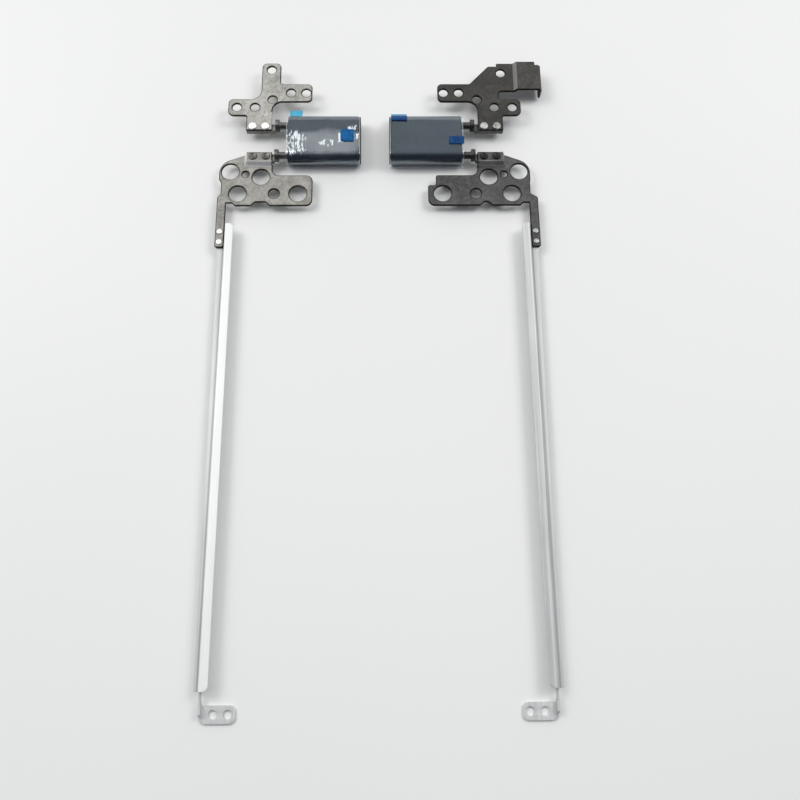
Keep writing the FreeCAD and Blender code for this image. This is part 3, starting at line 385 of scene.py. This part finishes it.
def turned_steel(name, dark, light, roughness):
    """Lathe-turned steel with rings round the shaft, which lies along X."""
    shader = Shader(name)
    rings = shader.noise(per_mm(0.18, 40.0, 40.0), detail=2.0)
    oil = shader.noise(per_mm(2.2), detail=3.0)
    tone = shader.spread(rings, dark, light)
    tone = shader.mix(shader.ramp(oil, [(0.5, 0.0), (0.7, 0.5)]), tone, dark, "MULTIPLY")
    shader.plug("Base Color", tone)
    shader.plug("Roughness", shader.spread(rings, *roughness))
    shader.set(Metallic=1.0)
    shader.bump(rings, 0.15, SHALLOW_BUMP)
    return shader.material


def cover_paint():
    """Satin metal-flake slate paint with a faint orange-peel."""
    shader = Shader("slate_paint")
    peel = shader.noise(per_mm(0.8), detail=2.0)
    flakes = shader.noise(per_mm(0.12), detail=1.0)
    clouds = shader.noise(per_mm(14.0, 5.0, 5.0), detail=3.0)
    tone = shader.spread(clouds, (0.046, 0.062, 0.080), (0.058, 0.077, 0.098))
    shader.plug("Base Color", shader.mottle(0.16, tone, flakes, 0.2, 0.8))
    shader.plug("Roughness", shader.spread(peel, 0.27, 0.34))
    shader.set(Metallic=0.9)
    shader.bump(peel, 0.04)
    return shader.material


def cap_plastic():
    """Black moulded plastic with a fine grain."""
    shader = Shader("black_plastic")
    grain = shader.noise(per_mm(0.3), detail=2.0)
    shader.plug("Base Color", shader.spread(grain, 0.006, 0.012))
    shader.plug("Roughness", shader.spread(grain, 0.45, 0.6))
    shader.bump(grain, 0.2, SHALLOW_BUMP)
    return shader.material


def clear_film(name):
    """Thin clear film: see-through where it clings, hazy where loose and mirror-bright on its creases."""
    shader = Shader(name)
    rub = shader.noise(per_mm(1.5), detail=3.0)
    haze = shader.node("ShaderNodeAttribute", attribute_name="haze").outputs["Fac"]
    crease = shader.node("ShaderNodeAttribute", attribute_name="crease").outputs["Fac"]
    shader.plug("Roughness", shader.spread(rub, 0.07, 0.16))
    shader.plug("Base Color", shader.spread(rub, (0.84, 0.90, 0.95), (0.89, 0.95, 1.0)))
    shader.set(Metallic=1.0)
    facing = shader.node("ShaderNodeFresnel", [("IOR", FILM_INDEX)]).outputs["Fac"]
    layers = shader.math("MULTIPLY_ADD", haze, HAZE_LAYERS, CLEAR_LAYERS)
    shine = shader.math("MINIMUM", shader.math("MULTIPLY", facing, layers), SHINE_LIMIT)
    shader.plug("Alpha", shader.math("ADD", shine, crease))
    return shader.material


def tape(name, dark, light):
    """Adhesive tape with faint stretch lines and a glossy skin."""
    shader = Shader(name)
    clouds = shader.noise(per_mm(2.4), detail=3.0)
    stretch = shader.noise(per_mm(4.0, 0.3, 4.0), detail=2.0)
    tone = shader.spread(clouds, dark, light)
    shader.plug("Base Color", shader.mottle(0.12, tone, stretch, 0.1, 0.9))
    shader.plug("Roughness", shader.spread(clouds, 0.22, 0.34))
    shader.set(Specular_IOR_Level=0.2)
    shader.bump(stretch, 0.06)
    return shader.material


def table_white():
    """Plain pale table top with a barely seen cloudiness."""
    shader = Shader("table_white")
    clouds = shader.noise(per_mm(FLOOR_CLOUD), detail=2.0)
    shader.plug("Base Color", shader.spread(clouds, *FLOOR_TONES))
    shader.set(Roughness=0.6, Specular_IOR_Level=0.25)
    return shader.material


# Pieces


def both(*kinds):
    """Names of the given nodes on the left and then on the right."""
    return [side + "_" + kind for side in SIDES for kind in kinds]


def assign(names, material):
    """One finish on CAD nodes as they are."""
    for name in names:
        slots = NODES[name].data.materials
        slots.clear()
        slots.append(material)


def new_piece(name, mesh):
    for face in mesh.faces:
        face.smooth = True
    data = bpy.data.meshes.new(name)
    mesh.to_mesh(data)
    mesh.free()
    piece = bpy.data.objects.new(name, data)
    bpy.context.scene.collection.objects.link(piece)
    return piece


def dress(piece, body, materials, node):
    """Finishes for a piece that stands for a CAD node and moves with a body."""
    for material in materials:
        piece.data.materials.append(material)
    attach(piece, body)
    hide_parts(node)


def quads(grid):
    """Each place along a line of a grid of points, with the four corners of the face there."""
    for first, second in zip(grid, grid[1:]):
        for j in range(len(first) - 1):
            yield j, [first[j], second[j], second[j + 1], first[j + 1]]


# Metal parts with rolled edges


def extent_z(face):
    heights = [corner.co.z for corner in face.verts]
    return max(heights) - min(heights)


def is_outer(edge, angle):
    """True on an edge between two faces that turn away from each other by at least an angle."""
    return edge.is_manifold and edge.is_convex and edge.calc_face_angle() >= angle


def turns_outward(edge):
    """True on an edge of a bend's outer round, where both faces look up."""
    return is_outer(edge, BEND_ANGLE) and all(face.normal.z > LOOKS_UP for face in edge.link_faces)


def is_sharp(edge):
    """True on an outer edge to be rolled; inner corners and shallow press marks stay crisp."""
    if not is_outer(edge, SHARP_ANGLE):
        return False
    return all(abs(face.normal.z) > CUT_SIDE or extent_z(face) > SHALLOW_MARK for face in edge.link_faces)


def whole_part(face):
    """The same finish all over."""
    return OWN


def plate_part(face):
    """Finish of a bracket's face; the step up to the right bracket's hood faces left."""
    normal = face.normal
    if abs(normal.z) < CUT_SIDE and extent_z(face) < SHEET_LIMIT:
        return RIM
    if normal.x > STEP_FACING and normal.z > LOOKS_UP and face.calc_center_median().z > HOOD_LEVEL:
        return HOOD
    if ROUND_START < normal.z < ROUND_END and any(turns_outward(edge) for edge in face.edges):
        return BEND
    return SLOPE if LOOKS_UP < normal.z < SLOPE_END else OWN


def rail_part(face):
    """Finish of a rail's face: the low lip, neck and foot, or the raised flange."""
    return LIP if face.calc_center_median().z < LIP_LEVEL else OWN


def ease_edges(names, width, part_of=whole_part, more=(), rim=KEEP_FINISH):
    """Metal parts again with their sharp edges rolled; more finishes go where part_of says."""
    for name in names:
        node = NODES[name]
        mesh = bmesh.new()
        mesh.from_mesh(node.data)
        bmesh.ops.remove_doubles(mesh, verts=mesh.verts, dist=WELD_DISTANCE)
        for face in mesh.faces:
            face.material_index = part_of(face)
        sharp = [edge for edge in mesh.edges if is_sharp(edge)]
        bmesh.ops.bevel(mesh, geom=sharp, offset=width, segments=EDGE_SEGMENTS, profile=0.5, affect="EDGES",
                        clamp_overlap=False, loop_slide=False, material=rim)
        piece = new_piece(name + "_eased", mesh)
        normals = piece.modifiers.new("normals", "WEIGHTED_NORMAL")
        normals.weight = NORMAL_WEIGHT
        dress(piece, node["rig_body"], [node.data.materials[0], *more], name)


# Film and tape on the covers


def limit(value):
    return min(1.0, max(0.0, value))


def wave(x, y, z):
    """Smooth noise at a place, between -1 and 1."""
    return noise.noise(Vector((x, y, z)))


def off_centre(x, y, middle, half):
    """Squared distance from the middle of an ellipse: 1 on its outline."""
    return ((x - middle[0]) / half[0]) ** 2 + ((y - middle[1]) / half[1]) ** 2


def cover_frame(side):
    """Outer end, outward sign, shaft axis and length of a cover, read from its solid."""
    low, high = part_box(side + "_hinge_cover")
    sign = SIDES[side]
    outer_end = low[0] if sign < 0 else high[0]
    return outer_end, sign, low[1] + COVER_RADIUS, (low[2] + high[2]) / 2, high[0] - low[0]


def arc_point(middle, angle):
    """A point on a round end of the film's path, and its outward normal."""
    normal = (math.cos(angle), math.sin(angle))
    return (middle + FILM_RADIUS * normal[0], FILM_RADIUS * normal[1]), normal


def wrap_point(distance):
    """A point and its outward normal on the film's path, which starts at the flap's free edge."""
    near_arc = FILM_RADIUS * (math.pi / 2 + FLAP_ANGLE)
    far_arc = math.pi * FILM_RADIUS
    if distance < FLAP_LENGTH:
        return (distance - FLAP_LENGTH - FILM_RADIUS * math.cos(FLAP_ANGLE), -FLAP_DROP), (0.0, 1.0)
    distance -= FLAP_LENGTH
    if distance < near_arc:
        return arc_point(0.0, math.pi + FLAP_ANGLE - distance / FILM_RADIUS)
    distance -= near_arc
    if distance < COVER_GAP:
        return (distance, FILM_RADIUS), (0.0, 1.0)
    distance -= COVER_GAP
    if distance < far_arc:
        return arc_point(COVER_GAP, math.pi / 2 - distance / FILM_RADIUS)
    distance -= far_arc
    if distance < COVER_GAP:
        return (COVER_GAP - distance, -FILM_RADIUS), (0.0, -1.0)
    return arc_point(0.0, -math.pi / 2 - (distance - COVER_GAP) / FILM_RADIUS)


def film_steps(fine):
    """Distances along the film's path: close over the top, wide apart underneath."""
    shown = FLAP_LENGTH + FILM_RADIUS * (math.pi + FLAP_ANGLE) + COVER_GAP
    whole = FLAP_LENGTH + 2 * math.pi * FILM_RADIUS + 2 * COVER_GAP
    over = [shown * j / fine for j in range(fine)]
    under = [shown + (whole - shown) * j / UNDERSIDE_STEPS for j in range(UNDERSIDE_STEPS + 1)]
    return over + under


def crinkle(x, y, seed):
    """Long folds of the loose film, from valley to ridge about -0.6 to 0.6."""
    warp = wave(x * 0.4, y * 0.4, seed + 2.0)
    folds = wave(x * 1.05 + 0.9 * warp, y * 0.32 + x * 0.12, seed)
    small = wave(x * 2.3 + 0.6 * warp, y * 0.75, seed + 5.0)
    return 0.7 * folds + 0.45 * small


def loose_share(x, y, patches):
    """How loose the film is at a place: 1 in the middle of a patch and 0 where it clings."""
    share = 0.0
    for middle_x, middle_y, half_x, half_y, strength in patches:
        ragged = 0.5 * wave(x * 0.7, y * 0.7, middle_x)
        gap = off_centre(x, y, (middle_x, middle_y), (half_x, half_y))
        share = max(share, strength * limit(1.3 - gap + ragged))
    return share


def film_state(x, y, haze, patches, seed):
    """Lift of the film as a share of its room, its haze and how much its folds shine."""
    tension = 0.5 + 0.5 * wave(x * 0.05, y * 0.35, seed + 11.0)
    loose = loose_share(x, y, patches)
    fold = crinkle(x, y, seed)
    lift = CLING_LIFT + TENSION_LIFT * tension * (1.0 - loose) + LOOSE_LIFT * loose * limit(0.5 + fold)
    crease = limit(4.5 * (fold + 0.08 - 0.5 * (1.0 - loose))) if loose > 0 else 0.0
    cloudy = 1.1 - off_centre(x, y, HAZE_MIDDLE, HAZE_HALF) + 0.4 * wave(x * 0.15, y * 0.25, seed + 3.0)
    combed = 0.35 * wave(x * 2.2, y * 0.18, seed + 15.0)
    return lift, haze * limit(cloudy + combed), crease


def rim_share(inward, along, length):
    """How near a point lies to the film's cut edges: 1 on the edge itself."""
    past_end = (abs(inward - length / 2) - length / 2) / FILM_OVERHANG
    return max(limit(2.0 * past_end - 1.0), limit(1.0 - along / FLAP_RIM))


def make_film(side, columns, rows, haze, patches):
    """The loose wrap of one cover, with its haze and creases kept on the points for its finish."""
    outer_end, sign, axis_y, axis_z, length = cover_frame(side)
    mesh = bmesh.new()
    haze_layer = mesh.verts.layers.float.new("haze")
    crease_layer = mesh.verts.layers.float.new("crease")
    grid = []
    for i in range(columns + 1):
        inward = (length + 2 * FILM_OVERHANG) * i / columns - FILM_OVERHANG
        line = []
        for along in film_steps(rows):
            (y, z), normal = wrap_point(along)
            lift, cloudy, crease = film_state(inward / MM, along / MM, haze, patches, sign * FOLD_SEED)
            rise = FILM_ROOM * lift
            place = (outer_end - sign * inward, axis_y + y + normal[0] * rise, axis_z + z + normal[1] * rise)
            point = mesh.verts.new(place)
            point[haze_layer] = cloudy
            point[crease_layer] = max(crease, RIM_SHINE * rim_share(inward, along, length))
            line.append(point)
        grid.append(line)
    for _, corners in quads(grid):
        mesh.faces.new(corners if sign > 0 else corners[::-1])
    piece = new_piece(side + "_film", mesh)
    thick = piece.modifiers.new("film_thickness", "SOLIDIFY")
    thick.thickness = FILM_SHEET
    thick.offset = 1.0
    dress(piece, side + "_cover", [clear_film(side + "_clear_film")], side + "_protective_film")


def strip(mesh, start, end, profile, free_from):
    """A strip of tape along X that follows (y, z) points; its free part takes the second finish."""
    grid = []
    for i in range(TAPE_COLUMNS + 1):
        x = start + (end - start) * i / TAPE_COLUMNS
        line = []
        for y, z in profile:
            ripple = wave(x / MM * RIPPLE_PITCH, y / MM * RIPPLE_PITCH, z / MM)
            line.append(mesh.verts.new((x, y, z + TAPE_RIPPLE * (ripple + 1.0))))
        grid.append(line)
    for j, corners in quads(grid):
        face = mesh.faces.new(corners)
        face.material_index = 1 if j >= free_from else 0


def flag_profile(axis_y, axis_z, reach, stuck_angle):
    """The line of a flag: stuck round the cover's far edge from an angle, then free with a slight sag."""
    far_axis = axis_y + COVER_GAP
    line = []
    for j in range(TAPE_STEPS + 1):
        angle = math.radians(stuck_angle) * (1 - j / TAPE_STEPS)
        line.append((far_axis + FILM_TOP * math.cos(angle), axis_z + FILM_TOP * math.sin(angle)))
    for j in range(1, TAPE_STEPS + 1):
        share = j / TAPE_STEPS
        sag = FLAG_SAG * math.sin(share * FLAG_CURL)
        line.append((far_axis + FILM_TOP + reach * share, axis_z - sag))
    return line


def make_tape(side, blue, flag_span, flag_reach, stuck_angle, strip_span, strip_low, strip_width):
    """Both strips on one cover: a flag that leaves the far edge, and a strip flat on the top."""
    outer_end, sign, axis_y, axis_z, _ = cover_frame(side)
    mesh = bmesh.new()
    flag = flag_profile(axis_y, axis_z, flag_reach * MM, stuck_angle)
    strip(mesh, *(outer_end + sign * x * MM for x in flag_span), flag, TAPE_STEPS)
    low = axis_y + strip_low * MM
    flat = [(low + strip_width * MM * j / TAPE_STEPS, axis_z + FILM_TOP) for j in range(TAPE_STEPS + 1)]
    strip(mesh, *(outer_end + sign * x * MM for x in strip_span), flat, len(flat))
    bmesh.ops.recalc_face_normals(mesh, faces=mesh.faces)
    piece = new_piece(side + "_tape", mesh)
    thick = piece.modifiers.new("tape_thickness", "SOLIDIFY")
    thick.thickness = TAPE_SHEET
    finishes = [tape(side + "_blue_tape", *blue), tape(side + "_pale_tape", *PALE_BLUE)]
    dress(piece, side + "_cover", finishes, side + "_pull_tabs")


# Finishes


def finish_brackets():
    # one plating, painted lit on the left brackets and in deep shade on the right ones
    for name, finish in PLATES.items():
        assign([name + "_bracket"], plate_steel(name + "_plate", *finish))


def left_edges_with_painted_light():
    """Finishes of the left brackets' rims, slopes and bends: the rims an oxidised cut darkened further as
    painted shade, the slopes and bends made far lighter than the plate as a painted highlight.
    """
    bend = drawn_steel("left_slope_and_bend_painted_highlight", (0.68, 0.672, 0.655), (0.80, 0.79, 0.77),
                       roughness=(0.34, 0.46), streak=0.15, metal=0.1)
    rim = sheared_rim_with_painted_shade("left_rim_oxide_and_painted_shade", (0.035, 0.033, 0.030), (0.11, 0.105, 0.095))
    return [rim, bend, bend]


def right_edges_with_painted_light():
    """Finishes of the right brackets' rims, slopes, bends and hood: the rims an oxidised cut darkened further
    as painted shade, the slopes and bends painted lighter than the plate as highlights, and the hood's top
    painted lighter as a sheen.
    """
    slope = drawn_steel("right_slope_painted_highlight", (0.16, 0.157, 0.152), (0.24, 0.236, 0.23),
                        roughness=(0.30, 0.42), streak=0.2, metal=0.3)
    bend = drawn_steel("right_fold_painted_highlight", (0.185, 0.182, 0.178), (0.265, 0.262, 0.256),
                       roughness=(0.30, 0.42), streak=0.25, metal=0.4)
    hood = plate_steel("hood_top_painted_sheen", (0.050, 0.047, 0.0425), (0.076, 0.071, 0.0645), (0.027, 0.0245, 0.022),
                       speckle=0.7)
    rim = sheared_rim_with_painted_shade("right_rim_oxide_and_painted_shade", (0.018, 0.017, 0.016), (0.05, 0.047, 0.044))
    return [rim, slope, bend, hood]


def finish_rails():
    # one rolled steel, painted lit on the left rail's strip and in shade on the right one
    assign(["left_rail"], drawn_steel("left_strip_painted_lit", (0.82, 0.83, 0.825), (0.89, 0.90, 0.895),
                                      roughness=(0.42, 0.52), streak=0.08, metal=0.2))
    assign(["right_rail"], drawn_steel("right_strip_painted_shade", (0.50, 0.515, 0.51), (0.59, 0.605, 0.60),
                                       roughness=(0.36, 0.46), streak=0.25, metal=0.25))


def rail_lip():
    # the rails' low lip, with painted shade in its corner under the flange
    return drawn_steel("rail_lip", (0.56, 0.575, 0.57), (0.635, 0.65, 0.645),
                       roughness=(0.42, 0.52), streak=0.15, metal=0.2, corner_shade=True)


def finish_rivets():
    # one rivet steel painted at four levels of light: a painted glint on the left base and rail rivets, half
    # shade on the right ones, and shade on the display rivets
    assign(["left_base_rivets", "left_rail_rivets"], stamped_steel(
        "rivet_painted_glint", (0.90, 0.90, 0.89), (0.97, 0.97, 0.96), (0.7, 0.7, 0.69), (0.3, 0.4), speckle=0.15))
    assign(["right_base_rivets", "right_rail_rivets"], stamped_steel(
        "rivet_painted_half_shade", (0.36, 0.36, 0.35), (0.58, 0.58, 0.57), (0.2, 0.2, 0.19), RIVET_ROUGHNESS, speckle=0.6))
    assign(["left_display_rivets"], stamped_steel(
        "rivet_painted_shade", (0.10, 0.096, 0.09), (0.17, 0.164, 0.155), (0.06, 0.06, 0.06), RIVET_ROUGHNESS))
    assign(["right_display_rivets"], stamped_steel(
        "rivet_painted_deep_shade", (0.020, 0.020, 0.019), (0.036, 0.036, 0.035), (0.015, 0.015, 0.015), RIVET_ROUGHNESS))


def finish_shafts():
    # one turned steel, painted lit on the left shafts and in shade on the right ones
    assign(["left_base_shaft", "left_display_shaft"],
           turned_steel("shaft_painted_lit", (0.10, 0.098, 0.095), (0.24, 0.233, 0.225), (0.22, 0.32)))
    assign(["right_base_shaft", "right_display_shaft"],
           turned_steel("shaft_painted_shade", (0.05, 0.05, 0.05), (0.12, 0.118, 0.115), (0.2, 0.3)))


def finish_covers():
    assign(both("hinge_cover"), cover_paint())
    assign(both("end_cap"), cap_plastic())


def finish_works():
    """The gears, plates, washers, nuts and springs inside the covers."""
    oiled = stamped_steel(
        "oiled_steel", (0.3, 0.29, 0.27), (0.42, 0.41, 0.39), (0.16, 0.14, 0.11), INNER_ROUGHNESS)
    assign(both("outer_link_plate", "inner_link_plate", "idler_pins"), oiled)
    assign(both("display_gear", "display_idler", "base_idler", "base_gear"), oiled)
    assign(both("display_washers", "base_washers", "display_nut", "base_nut"), oiled)
    sprung = stamped_steel(
        "spring_steel", (0.12, 0.12, 0.125), (0.2, 0.2, 0.205), (0.16, 0.13, 0.08), INNER_ROUGHNESS)
    assign(both("display_springs", "base_springs"), sprung)


def make_metal():
    """The seen metal parts with rolled edges, made once their nodes have finishes."""
    ease_edges(["left_base_bracket", "left_display_bracket"], BRACKET_EDGE,
               plate_part, left_edges_with_painted_light(), RIM)
    ease_edges(["right_base_bracket", "right_display_bracket"], BRACKET_EDGE,
               plate_part, right_edges_with_painted_light(), RIM)
    ease_edges(both("rail"), RAIL_EDGE, rail_part, [rail_lip()])
    ease_edges(both("base_rivets", "rail_rivets", "display_rivets"), RIVET_EDGE)
    ease_edges(both("base_shaft", "display_shaft"), SHAFT_EDGE)


def wrap_covers():
    for side in SIDES:
        make_film(side, **FILMS[side])
    for side in SIDES:
        make_tape(side, **TAPES[side])


# The stage


def make_floor():
    bpy.ops.mesh.primitive_plane_add(size=FLOOR_SIZE, location=(0.0, 0.0, 0.0))
    floor = bpy.context.object
    floor.name = "table"
    floor.data.materials.append(table_white())


def make_camera():
    data = bpy.data.cameras.new("photo_camera")
    data.sensor_fit = "HORIZONTAL"
    data.sensor_width = SENSOR_WIDTH
    data.lens = CAMERA_LENS
    data.clip_start = CLIP_START
    data.clip_end = CLIP_END
    camera = bpy.data.objects.new("photo_camera", data)
    camera.location = [part * MM for part in CAMERA_PLACE]
    camera.rotation_euler = [math.radians(part) for part in CAMERA_TURN]
    bpy.context.scene.collection.objects.link(camera)
    bpy.context.scene.camera = camera


def make_world():
    """A room that is bright above the far side and dark above and behind the camera."""
    world = bpy.data.worlds.new("room")
    bpy.context.scene.world = world
    world.use_nodes = True
    nodes = world.node_tree.nodes
    links = world.node_tree.links
    coords = nodes.new("ShaderNodeTexCoord")
    lean = nodes.new("ShaderNodeVectorMath")
    lean.operation = "DOT_PRODUCT"
    lean.inputs[1].default_value = ROOM_BRIGHT_SIDE
    ramp = nodes.new("ShaderNodeValToRGB")
    ramp.color_ramp.interpolation = "EASE"
    for element, position, tone in zip(ramp.color_ramp.elements, ROOM_FADE, ROOM_TONES):
        element.position = position
        element.color = (*tone, 1.0)
    links.new(coords.outputs["Generated"], lean.inputs[0])
    links.new(lean.outputs["Value"], ramp.inputs["Fac"])
    links.new(ramp.outputs["Color"], nodes["Background"].inputs["Color"])
    nodes["Background"].inputs["Strength"].default_value = 1.0


def area_light(name, place, target, size, power):
    """A square lamp that looks from one place at another."""
    data = bpy.data.lights.new(name, "AREA")
    data.shape = "SQUARE"
    data.size = size
    data.energy = power
    lamp = bpy.data.objects.new(name, data)
    lamp.location = place
    aim = Vector(target) - Vector(place)
    lamp.rotation_euler = aim.to_track_quat("-Z", "Y").to_euler()
    bpy.context.scene.collection.objects.link(lamp)


def make_lights():
    area_light("left_softbox", (-0.42, 0.20, 0.50), (-0.03, 0.03, 0.0), SOFTBOX_SIZE, power=1.36)
    area_light("right_softbox", (0.42, 0.20, 0.50), (0.03, 0.03, 0.0), SOFTBOX_SIZE, power=1.26)
    area_light("glint_lamp", (-0.16, 0.30, 0.62), (-0.03, 0.09, 0.0), GLINT_SIZE, power=0.06)


finish_brackets()
finish_rails()
finish_rivets()
finish_shafts()
finish_covers()
finish_works()
make_metal()
wrap_covers()
make_floor()
make_camera()
make_world()
make_lights()

bpy.context.scene.view_settings.view_transform = "Standard"
